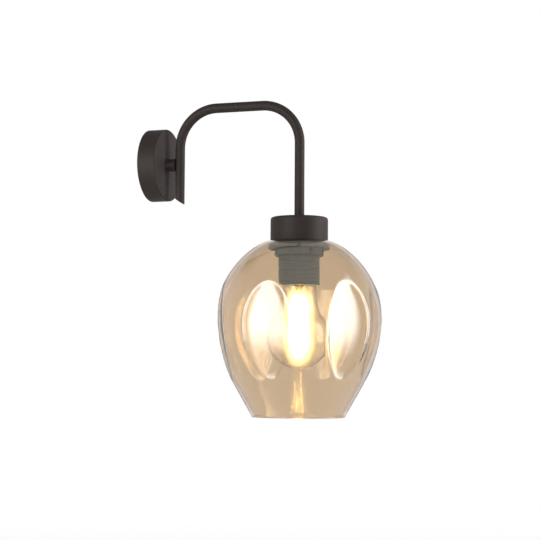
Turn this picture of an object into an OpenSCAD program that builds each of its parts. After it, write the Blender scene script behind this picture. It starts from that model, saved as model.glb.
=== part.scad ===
// Wall lamp: round wall plate, bent tube arm, holder cup, clear dimpled glass shade and bulb.
// Origin: centre of the wall plate's back, on the wall. +Z is up and the lamp stands out along -Y.

/* [Wall plate] */
// Diameter of the wall plate
plate_d = 71; // [66:1:110]
// Depth of the wall plate, from the wall to its front face
plate_depth = 18; // [16.5:0.5:30]
// Sheet thickness of the wall plate
plate_wall = 1.2; // [0.8:0.1:1.6]
// Rounding of the wall plate's front edge
plate_edge = 1; // [0.6:0.1:1.5]

/* [Wall bracket] */
// Width of the bracket strip
strip_w = 18; // [16:1:24]
// Thickness of the bracket strip
strip_t = 1.5; // [1.2:0.1:2]
// Depth of the bent tabs, from the wall
tab_depth = 11; // [10:0.5:13]
// Distance between the two wall screw holes
wall_screw_gap = 50; // [49:0.5:52]
// Diameter of the wall screw holes
wall_screw_hole = 4.5; // [4:0.1:5]
// Diameter of the cable hole
cable_hole = 10; // [8:0.5:11]
// Height of the side screws above the wall
side_screw_y = 6; // [5:0.5:7]
// Diameter of the side screws that hold the wall plate
side_screw_d = 4; // [3:0.5:4]
// Length of the side screws
side_screw_len = 7; // [6:0.5:9]

/* [Terminal block] */
// Distance between the poles
pole_gap = 9; // [8.5:0.5:10]
// Height of the block along the wires
block_h = 13; // [12:0.5:13.5]
// Depth of the block, out from the strip
block_depth = 11; // [10:0.5:11.5]
// Height of the block's lower side above the middle of the plate
block_z = 7.5; // [7:0.5:8]
// Outside diameter of the brass tubes
pole_d = 5; // [4.6:0.2:5.2]
// Bore of the brass tubes
pole_bore = 3; // [2.8:0.1:3.2]
// Diameter of the terminal screws
pole_screw_d = 2.6; // [2:0.1:2.8]
// Diameter of the screw that holds the block
block_screw_d = 2.5; // [2:0.1:2.6]
// Distance of the earth screw below the middle of the plate
earth_z = 16.5; // [16:0.5:17]
// Diameter of the earth screw
earth_screw_d = 4; // [3:0.5:4]
// Diameter of the earth screw's head
earth_head_d = 7.2; // [6.6:0.1:7.4]
// Length of the earth lead's tongue, from its hole to the wire's end
tongue_len = 6.5; // [6:0.1:7]
// How far the earth lead goes into its tube
lead_in = 5; // [4:0.5:6]

/* [Arm] */
// Outside diameter of the arm tube
tube_d = 9.5; // [8.5:0.5:12]
// Wall of the arm tube
tube_wall = 0.8; // [0.6:0.1:1]
// Distance of the back leg's axis from the plate's front face
arm_gap = 12.35; // [11.5:0.05:16]
// Distance between the axes of the two legs
arm_reach = 124; // [100:1:200]
// Height of the bar's axis above the middle of the plate
arm_rise = 54.5; // [48:0.5:120]
// Distance from the bar's axis down to the top of the cup
arm_drop = 110; // [100:1:200]
// Radius of the two bends
bend_r = 38; // [24:1:42]
// Distance of the cut lower end below the middle of the plate, on the axis
arm_tail = 36; // [24:1:60]
// Angle of the cut at the lower end
tail_cut = 34; // [0:1:45]
// Diameter of the stub between plate and tube
stub_d = 13.4; // [13:0.1:16]
// How deep the tube lies in the end of the stub
saddle = 1; // [0.5:0.1:1.5]

/* [Screwed joints] */
// Diameter of the hollow threads
thread_d = 10; // [9.6:0.1:10.4]
// Bore of the hollow threads
thread_bore = 6.6; // [6:0.1:7]
// How far the nipple goes into the stub
nipple_in = 5.5; // [4:0.5:6]
// Length of the nipple behind its nut
nipple_out = 1.5; // [1:0.5:2]
// Thickness of the hexagon nut
nut_t = 3.2; // [2.5:0.1:3.6]
// Width across the flats of the hexagon nut
nut_w = 14; // [13.5:0.5:15]
// Thickness of the toothed washers
washer_t = 1; // [0.6:0.1:1.2]
// Diameter of the toothed washers
washer_d = 18; // [16:0.5:20]
// Length of the arm's threaded end below the top of the cup
spigot_len = 9; // [8.5:0.5:10]
// Diameter of the collar at the arm's end
collar_d = 11.8; // [11.2:0.1:14]
// Height of the collar
collar_h = 1.5; // [1.2:0.1:3]

/* [Holder cup] */
// Diameter of the cup
cup_d = 55; // [52:1:64]
// Height of the cup
cup_h = 23; // [22:0.5:34]
// Sheet thickness of the cup
cup_wall = 1.2; // [0.8:0.1:1.6]
// Rounding of the cup's upper edge
cup_edge = 2.5; // [2:0.1:4]

/* [Lampholder] */
// Diameter of the barrel's thread
barrel_d = 39.8; // [39:0.1:40.2]
// Pitch of the barrel's thread
barrel_pitch = 2.5; // [2:0.1:3]
// Depth of the barrel's thread
barrel_thread = 0.9; // [0.6:0.1:1]
// Length of the barrel that shows below the ring
barrel_show = 28; // [24:0.5:34]
// Thickness of the barrel's lower wall, under the thread
barrel_wall = 1.3; // [1:0.1:1.5]
// Wall of the lampholder cap
cap_wall = 2; // [1.5:0.1:2.5]
// Space above the insert for the wires
wire_space = 12.3; // [12:0.1:13]
// Clearance round the insert
insert_gap = 0.2; // [0.1:0.05:0.3]
// Depth from the barrel's end to the bulb's contact
socket_depth = 26; // [25:0.5:28]
// Length of the metal screw shell
shell_len = 22; // [18:0.5:24]
// Distance of the terminals from the axis
holder_pole_x = 10; // [9.5:0.5:11]

/* [Shade ring] */
// Diameter of the ring's flange
ring_d = 59; // [56:0.5:60]
// Thickness of the flange
flange_t = 5; // [2:0.5:6]
// Diameter of the ring's grip
grip_d = 47; // [45:0.5:50]
// Height of the grip
grip_h = 7; // [5:0.5:9]
// Number of grip notches
grip_n = 8; // [6:1:16]
// Radial clearance in the screw threads
screw_gap = 0.35; // [0.3:0.05:0.5]

/* [Glass shade] */
// Thickness of the glass
glass_t = 2.4; // [1.8:0.1:3]
// Height of the shade
shade_h = 167; // [140:1:190]
// Largest radius of the shade
belly_r = 79; // [72:0.2:90]
// Distance of the largest radius below the top
belly_drop = 75.4; // [68:0.2:82]
// Radius of the flat seat under the cup
seat_r = 30.4; // [30.2:0.1:34]
// Radius of the lower rim
rim_r = 44.4; // [38:0.2:56]
// Lean of the wall at the lower rim
rim_lean = 23.6; // [10:0.2:32]
// Clearance between the hole and the barrel
hole_gap = 1.1; // [0.8:0.1:1.4]
// Number of dimples
dimple_n = 6; // [3:1:7]
// Depth of the dimples
dimple_depth = 6; // [2:0.5:10]
// Half width of a dimple, as an angle
dimple_a = 21; // [14:1:25]
// Half height of a dimple
dimple_b = 50; // [30:1:52]
// Distance of the dimples' centres below the top
dimple_drop = 86.5; // [80:0.5:96]
// Turn of the first dimple
dimple_turn = 55.5; // [0:0.5:72]

/* [Bulb] */
// Diameter of the bulb
bulb_d = 60; // [56:1:66]
// Length of the bulb, with its cap
bulb_len = 105; // [100:1:112]
// Thread diameter of the bulb's cap
bulb_cap_d = 26.3; // [26:0.1:26.5]
// Pitch of the bulb's thread
bulb_pitch = 3.629; // [3.5:0.001:3.7]
// Depth of the bulb's thread
bulb_thread = 0.8; // [0.6:0.1:0.9]
// Radius of the bulb's neck at the end of the barrel
neck_r = 16.2; // [15.5:0.1:16.6]
// Thickness of the bulb's glass
bulb_glass = 0.7; // [0.5:0.1:0.9]
// Length of a light stick
stick_len = 46; // [30:1:52]
// Diameter of a light stick
stick_d = 1.9; // [1.4:0.1:2.2]
// Number of light sticks
stick_n = 4; // [2:1:6]

/* [Wires] */
// Diameter of an insulated wire
wire_d = 2.2; // [1.8:0.1:2.3]
// Distance of the two wires from the tube's axis
wire_x = 1.3; // [1.25:0.05:1.4]
// Radius of the small wire bends
wire_bend = 2.2; // [2:0.1:2.4]

/* [Hidden] */
$fn = 64;

// Fit of turned and brazed pieces, on the radius
fit = 0.05;
// Running gap between the bulb's tip and the centre contact
tip_gap = 0.2;
// Depths out from the wall, as distances along -Y
plate_in = plate_depth - plate_wall;
stub_len = arm_gap - tube_d / 2 + saddle;
leg_out = plate_depth + arm_gap;
lamp_out = leg_out + arm_reach;
nipple_end = plate_in - washer_t - nut_t - nipple_out;
nipple_tip = plate_depth + nipple_in;
pole_out = strip_t + block_depth / 2;
// The tabs stand just inside the plate's wall at the strip's corners
plate_ri = plate_d / 2 - plate_wall;
tab_z = sqrt(plate_ri * plate_ri - strip_w * strip_w / 4) - 0.3;
// Heights along the shade's axis
cup_top = arm_rise - arm_drop;
cup_rim = cup_top - cup_h;
cap_top = cup_top - cup_wall - washer_t;
cap_low = cup_rim + 1;
insert_top = cap_top - wire_space;
ring_top = cup_rim - glass_t;
ring_low = ring_top - flange_t - grip_h;
barrel_end = ring_low - barrel_show;
tip_z = barrel_end + socket_depth;
insert_low = tip_z + tip_gap + 3;
skirt_low = insert_low - 2;
shell_top = insert_low - 0.6;
shell_low = shell_top - shell_len;
barrel_top = insert_top - 1;
barrel_r = barrel_d / 2;
root_r = barrel_r - barrel_thread;
mouth_r = root_r - barrel_wall;
insert_r = mouth_r - 0.6 - insert_gap;
shell_r = bulb_cap_d / 2 + 0.3;
shell_out = shell_r + bulb_thread + 0.4;
cap_in = barrel_r + 0.15;
cap_r = cap_in + cap_wall;
holder_wire_z = insert_top + 2.75;
// Heights of the bulb
bulb_low = tip_z - bulb_len;
ball_z = bulb_low + bulb_d / 2;
collar_low = tip_z - 3;
cap_end = barrel_end + 3;
// The light sticks start below the holder and spread a little towards their feet
stem_r = 1.8;
stick_top = 6.5;
stick_foot = 10.5;
stick_high = barrel_end - 10;
stick_lean = asin((stick_foot - stick_top) / stick_len);
stick_low = stick_high - stick_len * cos(stick_lean);
// The dimple heights and shade heights
shade_low = cup_rim - shade_h;
belly_z = cup_rim - belly_drop;
dimple_z = cup_rim - dimple_drop;
hole_r = barrel_r + hole_gap;

// Moves a drawing so that its own z runs out from the wall
module out() { rotate([90, 0, 0]) children(); }
// Places a drawing on the shade's axis
module lamp() { translate([0, -lamp_out, 0]) children(); }

// A round rod from height z0 to z1
module rod(r, z0, z1) { translate([0, 0, min(z0, z1)]) cylinder(r = r, h = abs(z1 - z0)); }
module pipe(r, ri, z0, z1) {
    difference() {
        rod(r, z0, z1);
        rod(ri, min(z0, z1) - 1, max(z0, z1) + 1);
    }
}
// A quarter bend of a rod, in its own x-y plane, about its own origin
module quarter(rb, r, from) {
    rotate([0, 0, from]) rotate_extrude(angle = 90) translate([rb, 0]) circle(r = r);
}
// Half section of a solid of revolution with its upper outer edge rounded
module rounded_half(r, h, e) {
    square([r - e, h]);
    square([r, h - e]);
    translate([r - e, h - e]) circle(r = e);
}
// Outer line of a screw thread, drawn as rings of the given pitch, from z0 up
function thread_line(crest, depth, pitch, z0, n) = [for (i = [0:n - 1], k = [0:3])
    [crest - (k == 0 || k == 3 ? depth : 0), z0 + (i + [0.05, 0.3, 0.6, 0.85][k]) * pitch]];
// Toothed lock washer lying on z = 0
module toothed_washer() {
    difference() {
        cylinder(r = washer_d / 2, h = washer_t);
        translate([0, 0, -1]) cylinder(r = thread_d / 2 + 0.2, h = washer_t + 2);
        for (i = [0:11]) rotate([0, 0, 30 * i])
            translate([washer_d / 2 - 1.8, -0.8, -1]) cube([4, 1.6, washer_t + 2]);
    }
}
// Slotted round-head screw with its head's underside on z = 0 and its shank below
module slotted_screw(d, len, head_d, head_h) {
    difference() {
        union() {
            translate([0, 0, -len]) cylinder(r = d / 2, h = len + 0.1);
            cylinder(r = head_d / 2, h = head_h);
        }
        translate([-head_d, -0.35, head_h / 2]) cube([2 * head_d, 0.7, head_h]);
    }
}

module wall_bracket() {
    color("silver") difference() {
        union() {
            out() translate([-strip_w / 2, -tab_z, 0]) cube([strip_w, 2 * tab_z, strip_t]);
            for (s = [-1, 1]) {
                translate([-strip_w / 2, -tab_depth, s > 0 ? tab_z - strip_t : -tab_z])
                    cube([strip_w, tab_depth, strip_t]);
                translate([0, -side_screw_y, s > 0 ? tab_z - strip_t - 2 : -tab_z])
                    cylinder(r = side_screw_d / 2 + 1.4, h = strip_t + 2);
            }
        }
        out() {
            for (s = [-1, 1]) translate([0, s * wall_screw_gap / 2, -1])
                cylinder(r = wall_screw_hole / 2, h = strip_t + 2);
            translate([0, 0, -1]) cylinder(r = cable_hole / 2, h = strip_t + 2);
            translate([0, -earth_z, -1]) cylinder(r = earth_screw_d / 2 + fit, h = strip_t + 2);
            translate([pole_gap / 2, block_z + block_h / 2, -1])
                cylinder(r = block_screw_d / 2 + fit, h = strip_t + 2);
        }
        for (s = [-1, 1]) translate([0, -side_screw_y, s > 0 ? tab_z - 5 : -tab_z - 1])
            cylinder(r = side_screw_d / 2 + fit, h = 6);
    }
}

module wall_plate() {
    color([0.22, 0.21, 0.2]) difference() {
        out() rotate_extrude() difference() {
            rounded_half(plate_d / 2, plate_depth, plate_edge);
            translate([-1, -1]) square([plate_ri + 1, plate_in + 1]);
            translate([-1, -1]) square([thread_d / 2 + 1.15, plate_depth + 2]);
        }
        for (s = [-1, 1]) translate([0, -side_screw_y, s > 0 ? plate_ri - 2 : -plate_d / 2 - 1])
            cylinder(r = side_screw_d / 2 + 0.25, h = plate_wall + 3);
    }
}

// Two headless screws with a hexagon socket, through the plate's wall into the tabs
module plate_screws() {
    color([0.22, 0.21, 0.2]) for (s = [-1, 1])
        translate([0, -side_screw_y, 0]) rotate([s > 0 ? 0 : 180, 0, 0]) difference() {
            rod(side_screw_d / 2, plate_d / 2 - 0.3 - side_screw_len, plate_d / 2 - 0.3);
            translate([0, 0, plate_d / 2 - 2.3])
                cylinder(r = side_screw_d / 4, h = 4, $fn = 6);
        }
}

module terminal_block() {
    color("white") difference() {
        translate([-1.5 * pole_gap, -strip_t - block_depth, block_z])
            cube([3 * pole_gap, block_depth, block_h]);
        for (i = [-1:1]) {
            translate([i * pole_gap, -pole_out, block_z - 1])
                cylinder(r = pole_d / 2 + fit, h = block_h + 2);
            for (k = [0, 1]) translate([i * pole_gap, 0, block_z + 3 + k * (block_h - 6)])
                out() translate([0, 0, pole_out])
                    cylinder(r = pole_screw_d / 2 + 0.25, h = block_depth);
        }
        translate([pole_gap / 2, 0, block_z + block_h / 2]) out() {
            cylinder(r = block_screw_d / 2 + 0.15, h = 2 * block_depth);
            translate([0, 0, strip_t + block_depth - 3])
                cylinder(r = block_screw_d / 2 + 0.6, h = block_depth);
        }
    }
}

module terminal_tubes() {
    color("gold") for (i = [-1:1]) translate([i * pole_gap, -pole_out, 0]) difference() {
        rod(pole_d / 2, block_z + 1, block_z + block_h - 1);
        rod(pole_bore / 2, block_z, block_z + block_h);
        for (k = [0, 1]) translate([0, 0, block_z + 3 + k * (block_h - 6)])
            out() cylinder(r = pole_screw_d / 2 + fit, h = pole_d);
    }
}

module terminal_screws() {
    color("silver") for (i = [-1:1], k = [0, 1])
        translate([i * pole_gap, -pole_out, block_z + 3 + k * (block_h - 6)]) out()
            difference() {
                translate([0, 0, wire_d / 2 + 0.1])
                    cylinder(r = pole_screw_d / 2, h = block_depth / 2 - wire_d / 2 - 0.6);
                translate([-5, -0.25, block_depth / 2 - 1.3]) cube([10, 0.5, 2]);
            }
}

module block_screw() {
    color("silver") translate([pole_gap / 2, 0, block_z + block_h / 2]) out()
        translate([0, 0, strip_t + block_depth - 3])
            slotted_screw(block_screw_d, strip_t + block_depth - 3.2, block_screw_d + 0.9, 1.8);
}

module earth_screw() {
    color("gold") translate([0, 0, -earth_z]) out()
        translate([0, 0, strip_t + 0.8])
            slotted_screw(earth_screw_d, strip_t + 0.6, earth_head_d, 2.4);
}

// Lead from the middle pole down to the earth screw, with a crimped ring tongue
module earth_lead() {
    r = wire_d / 2;
    // Depth of the lead where it lies on the strip, and the size of its double bend
    low_out = strip_t + r + fit;
    step_r = (pole_out - low_out) / 2;
    step_z = block_z - 0.5;
    color("yellowgreen") {
        translate([0, -pole_out, 0]) rod(r, step_z, block_z + lead_in);
        translate([0, -pole_out + step_r, step_z]) rotate([90, 0, 90]) quarter(step_r, r, 180);
        translate([0, -low_out - step_r, step_z - 2 * step_r]) rotate([90, 0, 90])
            quarter(step_r, r, 0);
        translate([0, -low_out, 0]) rod(r, step_z - 2 * step_r, -earth_z + tongue_len);
        translate([0, -low_out - 0.3, 0]) rod(r + 0.35, -earth_z + tongue_len + 0.3, -earth_z + tongue_len - 2.5);
        difference() {
            union() {
                translate([0, 0, -earth_z]) out() translate([0, 0, strip_t])
                    cylinder(r = 3.9, h = 0.8);
                translate([-1.4, -strip_t - 0.8, -earth_z]) cube([2.8, 0.8, tongue_len - 1.5]);
            }
            translate([0, 0, -earth_z]) out() cylinder(r = earth_screw_d / 2 + 0.1, h = 5);
        }
    }
}

module arm_nipple() {
    color("goldenrod") out() pipe(thread_d / 2, thread_bore / 2, nipple_end, nipple_tip);
}

module nipple_washer() {
    color("silver") out() translate([0, 0, plate_in - washer_t]) toothed_washer();
}

module nipple_nut() {
    color("goldenrod") out() translate([0, 0, plate_in - washer_t - nut_t]) difference() {
        cylinder(r = nut_w / 2 / cos(30), h = nut_t, $fn = 6);
        translate([0, 0, -1]) cylinder(r = thread_d / 2 + fit, h = nut_t + 2);
    }
}

// Short stub that carries the tube, saddled on its front end
module arm_stub() {
    color([0.22, 0.21, 0.2]) difference() {
        out() rod(stub_d / 2, plate_depth, plate_depth + stub_len);
        out() rod(thread_d / 2 + fit, plate_depth - 1, nipple_tip + 0.3);
        out() rod(thread_bore / 2, plate_depth - 1, leg_out);
        translate([0, -leg_out, -stub_d]) cylinder(r = tube_d / 2 + 0.02, h = 2 * stub_d);
    }
}

// One leg, bend, bar, bend and leg of a round rod of radius r
module arm_path(r, x, low, high) {
    translate([x, 0, 0]) {
        translate([0, -leg_out, 0]) rod(r, low, arm_rise - bend_r);
        translate([0, -leg_out - bend_r, arm_rise - bend_r]) rotate([90, 0, 90])
            quarter(bend_r, r, 0);
        translate([0, 0, arm_rise]) out() rod(r, leg_out + bend_r, lamp_out - bend_r);
        translate([0, -lamp_out + bend_r, arm_rise - bend_r]) rotate([90, 0, 90])
            quarter(bend_r, r, 90);
        translate([0, -lamp_out, 0]) rod(r, high, arm_rise - bend_r);
    }
}

module arm_tube() {
    color([0.22, 0.21, 0.2]) difference() {
        arm_path(tube_d / 2, 0, -arm_tail - tube_d, cup_top + collar_h);
        arm_path(tube_d / 2 - tube_wall, 0, -arm_tail - tube_d - 1, cup_top + collar_h - 1);
        // Slanted cut at the lower end, with the long side away from the wall
        translate([0, -leg_out, -arm_tail]) rotate([tail_cut, 0, 0])
            translate([-tube_d, -2 * tube_d, -4 * tube_d]) cube([2 * tube_d, 4 * tube_d, 4 * tube_d]);
        // Hole for the wires, behind the stub
        out() rod(thread_bore / 2, plate_depth, leg_out);
    }
}

// Turned end of the arm: plug in the tube, flared collar and hollow thread
module arm_end_bush() {
    plug_r = tube_d / 2 - tube_wall - fit;
    color([0.22, 0.21, 0.2]) lamp() difference() {
        union() {
            rod(plug_r, cup_top, cup_top + collar_h + 7);
            rod(thread_d / 2, cup_top - spigot_len, cup_top + 0.1);
            rotate_extrude() polygon([[0, cup_top], [collar_d / 2, cup_top],
                [collar_d / 2, cup_top + collar_h - (collar_d - tube_d) / 2],
                [tube_d / 2, cup_top + collar_h], [0, cup_top + collar_h]]);
        }
        rod(min(thread_bore / 2, plug_r - 0.5), cup_top - spigot_len - 1, cup_top + collar_h + 8);
    }
}

// One wire from the terminal block, through the arm, to a terminal of the lampholder
module arm_wire(s) {
    r = wire_d / 2;
    x = s * wire_x;
    low = -lamp_out;
    // In the terminal block and behind the nipple
    translate([s * pole_gap, -pole_out, 0]) rod(r, wire_bend, block_z + 5);
    translate([s * (pole_gap - wire_bend), -pole_out, wire_bend]) rotate([90, 0, 0])
        quarter(wire_bend, r, s > 0 ? 270 : 180);
    translate([0, -pole_out, 0]) rotate([0, 90, 0])
        rod(r, s * (wire_x + wire_bend), s * (pole_gap - wire_bend));
    translate([s * (wire_x + wire_bend), -pole_out - wire_bend, 0])
        quarter(wire_bend, r, s > 0 ? 90 : 0);
    translate([x, 0, 0]) out() rod(r, pole_out + wire_bend, leg_out - 4);
    // Into the tube, and along it
    translate([x, -leg_out + 4, 4]) rotate([90, 0, 90]) quarter(4, r, 180);
    arm_path(r, x, 4, holder_wire_z + wire_bend);
    // To the terminal
    translate([s * (wire_x + wire_bend), low, holder_wire_z + wire_bend]) rotate([90, 0, 0])
        quarter(wire_bend, r, s > 0 ? 180 : 270);
    translate([0, low, holder_wire_z]) rotate([0, 90, 0])
        rod(r, s * (wire_x + wire_bend), s * holder_pole_x);
}

module live_wire() { color("saddlebrown") arm_wire(-1); }

module neutral_wire() { color("royalblue") arm_wire(1); }

module holder_cup() {
    color([0.22, 0.21, 0.2]) lamp() translate([0, 0, cup_rim]) rotate_extrude() difference() {
        rounded_half(cup_d / 2, cup_h, cup_edge);
        difference() {
            translate([-1, -1]) square([cup_d / 2 - cup_wall + 1, cup_h - cup_wall + 1]);
            translate([cup_d / 2 - cup_edge, cup_h - cup_edge]) difference() {
                square(cup_edge);
                circle(r = cup_edge - cup_wall);
            }
        }
        translate([-1, -1]) square([thread_d / 2 + 1.15, cup_h + 2]);
    }
}

module cup_washer() {
    color("silver") lamp() translate([0, 0, cap_top]) toothed_washer();
}

// Moulded cap of the lampholder, screwed on the arm's end inside the cup
module lampholder_cap() {
    color([0.3, 0.31, 0.32]) lamp() difference() {
        union() {
            difference() {
                translate([0, 0, cap_low]) rotate_extrude()
                    rounded_half(cap_r, cap_top - cap_low, 3);
                rod(cap_in, cap_low - 1, cap_top - cap_wall);
            }
            rod(8, cap_top - 6.3, cap_top - cap_wall + 0.1);
        }
        rod(thread_d / 2 + fit, cap_top - 8, cap_top + 1);
    }
}

// Ceramic body that carries the contacts and terminals
module lampholder_insert() {
    color("ivory") lamp() difference() {
        union() {
            rod(insert_r, insert_low, insert_top);
            pipe(insert_r, shell_out + 0.15, skirt_low, insert_low + 0.1);
        }
        for (x = [8, -11]) translate([x, 0, 0]) rod(1.25, insert_low - 1, insert_top + 1);
    }
}

// Barrel with its outer thread, a lip that holds the insert, and the open mouth
module lampholder_barrel() {
    lip = shell_out + 0.15;
    n = floor((barrel_top - 1 - barrel_end) / barrel_pitch);
    color([0.3, 0.31, 0.32]) lamp() rotate_extrude() polygon(concat(
        [[mouth_r, barrel_end], [root_r, barrel_end]],
        thread_line(barrel_r, barrel_thread, barrel_pitch, barrel_end, n),
        [[root_r, barrel_top], [insert_r + insert_gap, barrel_top],
         [insert_r + insert_gap, skirt_low], [lip, skirt_low], [lip, skirt_low - 2],
         [mouth_r, skirt_low - 2]]));
}

// Thin metal shell that takes the bulb's screw cap
module screw_shell() {
    n = floor((shell_len - 1) / bulb_pitch);
    wave = thread_line(shell_r + bulb_thread, bulb_thread, bulb_pitch, shell_low, n);
    color("goldenrod") lamp() rotate_extrude() polygon(concat(
        [[shell_r, shell_low]], wave, [[shell_r, shell_top], [shell_r + 0.4, shell_top]],
        [for (i = [len(wave) - 1:-1:0]) wave[i] + [0.4, 0]], [[shell_r + 0.4, shell_low]]));
}

module centre_contact() {
    color("gold") lamp() {
        translate([8, 0, 0]) rod(1.2, insert_low, insert_top);
        translate([-3, -2.5, insert_low - 0.6]) cube([12.6, 5, 0.6]);
        rod(2.4, tip_z + tip_gap, insert_low - 0.5);
    }
}

module side_contact() {
    color("gold") lamp() {
        translate([-11, 0, 0]) rod(1.2, insert_low, insert_top);
        translate([-shell_r - 0.3, -2, insert_low - 0.6]) cube([shell_r + 0.3 - 9.6, 4, 0.6]);
    }
}

module holder_terminals() {
    color("gold") lamp() for (s = [-1, 1]) difference() {
        translate([s * holder_pole_x - 3, -3, insert_top]) cube([6, 6, 5.5]);
        translate([s * holder_pole_x - 4, 0, holder_wire_z]) rotate([0, 90, 0])
            cylinder(r = wire_d / 2 + 0.15, h = 8);
        translate([s * holder_pole_x, 0, holder_wire_z]) cylinder(r = 1.5 + fit, h = 5);
    }
}

module holder_terminal_screws() {
    color("silver") lamp() for (s = [-1, 1])
        translate([s * holder_pole_x, 0, holder_wire_z + wire_d / 2 + 0.1]) difference() {
            cylinder(r = 1.5, h = 4);
            translate([-3, -0.25, 3.2]) cube([6, 0.5, 2]);
        }
}

// Ring that screws up the barrel and clamps the glass against the cup
module shade_ring() {
    bore = barrel_r + screw_gap;
    color([0.36, 0.38, 0.4]) lamp() difference() {
        rotate_extrude() polygon([[bore, ring_low], [grip_d / 2 - 1.5, ring_low],
            [grip_d / 2, ring_low + 1.5], [grip_d / 2, ring_top - flange_t],
            [ring_d / 2 - 0.5, ring_top - flange_t], [ring_d / 2, ring_top - flange_t + 0.5],
            [ring_d / 2, ring_top], [bore, ring_top]]);
        for (i = [0:grip_n - 1]) rotate([0, 0, 360 * i / grip_n])
            translate([grip_d / 2 - 1, -1.2, ring_low - 1]) cube([4, 2.4, grip_h + 1 - 0.6]);
    }
}

// Point at t on a cubic curve
function cubic(p, t) = pow(1 - t, 3) * p[0] + 3 * pow(1 - t, 2) * t * p[1]
    + 3 * (1 - t) * t * t * p[2] + pow(t, 3) * p[3];
function slope(p, t) = pow(1 - t, 2) * (p[1] - p[0]) + 2 * (1 - t) * t * (p[2] - p[1])
    + t * t * (p[3] - p[2]);
// Outer line of the shade: from the seat over the shoulder to the belly, then down to the rim
shoulder = [[seat_r, cup_rim], [seat_r + 8.7, cup_rim - 1.15],
    [belly_r, belly_z + 0.65 * belly_drop], [belly_r, belly_z]];
flank = [[belly_r, belly_z], [belly_r, belly_z - 0.436 * (shade_h - belly_drop)],
    [rim_r + 21.3 * sin(rim_lean), shade_low + 21.3 * cos(rim_lean)], [rim_r, shade_low]];
shade_steps = 13;
function inward(d) = [d[1], -d[0]] / norm(d);
outer_line = concat(
    [[hole_r, cup_rim], [(hole_r + seat_r) / 2, cup_rim]],
    [for (i = [0:shade_steps - 1]) cubic(shoulder, pow(i / shade_steps, 0.9))],
    [for (i = [0:shade_steps]) cubic(flank, i / shade_steps)]);
inner_line = concat(
    [[hole_r, ring_top], [(hole_r + seat_r) / 2, ring_top], [seat_r, ring_top]],
    [for (i = [1:shade_steps - 1]) let (t = pow(i / shade_steps, 0.9))
        cubic(shoulder, t) + glass_t * inward(slope(shoulder, t))],
    [for (i = [0:shade_steps - 1]) let (t = i / shade_steps)
        cubic(flank, t) + glass_t * inward(slope(flank, t))],
    [[rim_r - glass_t / cos(rim_lean), shade_low]]);
// How far the glass is pressed in at angle a and height z
function near_dimple(a) = abs((a - dimple_turn + 3600 + 180 / dimple_n) % (360 / dimple_n)
    - 180 / dimple_n);
function pressed(a, z) = let (u = pow(near_dimple(a) / dimple_a, 2)
    + pow((z - dimple_z) / dimple_b, 2)) u < 1 ? dimple_depth * pow(1 - u, 2) : 0;

module glass_shade() {
    sides = 60;
    lines = [outer_line, inner_line];
    rows = len(outer_line);
    points = [for (k = [0, 1], i = [0:rows - 1], j = [0:sides - 1])
        let (a = 360 * j / sides, p = lines[k][i], q = p[0] - pressed(a, outer_line[i][1]))
        [q * cos(a), q * sin(a), p[1]]];
    // Number of a point: skin k, row i, side j
    function at(k, i, j) = (k * rows + i) * sides + j % sides;
    faces = [for (i = [0:rows - 2], j = [0:sides - 1], h = [0, 1])
            h == 0 ? [at(0, i, j), at(0, i, j + 1), at(0, i + 1, j)]
                   : [at(0, i + 1, j), at(0, i, j + 1), at(0, i + 1, j + 1)],
        for (i = [0:rows - 2], j = [0:sides - 1], h = [0, 1])
            h == 0 ? [at(1, i, j + 1), at(1, i, j), at(1, i + 1, j)]
                   : [at(1, i, j + 1), at(1, i + 1, j), at(1, i + 1, j + 1)],
        for (j = [0:sides - 1], h = [0, 1])
            h == 0 ? [at(0, 0, j + 1), at(0, 0, j), at(1, 0, j)]
                   : [at(0, 0, j + 1), at(1, 0, j), at(1, 0, j + 1)],
        for (j = [0:sides - 1], h = [0, 1])
            h == 0 ? [at(0, rows - 1, j), at(0, rows - 1, j + 1), at(1, rows - 1, j)]
                   : [at(1, rows - 1, j), at(0, rows - 1, j + 1), at(1, rows - 1, j + 1)]];
    color([0.85, 0.7, 0.5, 0.45]) lamp() polyhedron(points, faces);
}

// Soldered contact at the bulb's tip
module bulb_contact() {
    color("silver") lamp() rotate_extrude() polygon([[0, tip_z], [3.2, tip_z], [4.6, tip_z - 0.7],
        [4.6, tip_z - 1], [0, tip_z - 1]]);
}

module bulb_insulator() {
    color([0.1, 0.1, 0.1]) lamp() rotate_extrude() polygon([[0, tip_z - 1], [4.6, tip_z - 1],
        [bulb_cap_d / 2 - 3.6, collar_low], [0, collar_low]]);
}

// Screw cap of the bulb, open towards the glass
module bulb_cap() {
    crest = bulb_cap_d / 2;
    n = floor((collar_low - 2 - cap_end) / bulb_pitch);
    inner = crest - bulb_thread - 0.4;
    color("silver") lamp() rotate_extrude() polygon(concat(
        [[inner, cap_end], [crest, cap_end], [crest, cap_end + 0.6]],
        thread_line(crest, bulb_thread, bulb_pitch, cap_end + 0.8, n),
        [[crest - bulb_thread, collar_low - 1.4], [crest - 3.6, collar_low],
         [0, collar_low], [0, collar_low - 0.4], [crest - 3.8, collar_low - 0.4],
         [inner, collar_low - 1.8]]));
}

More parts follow.
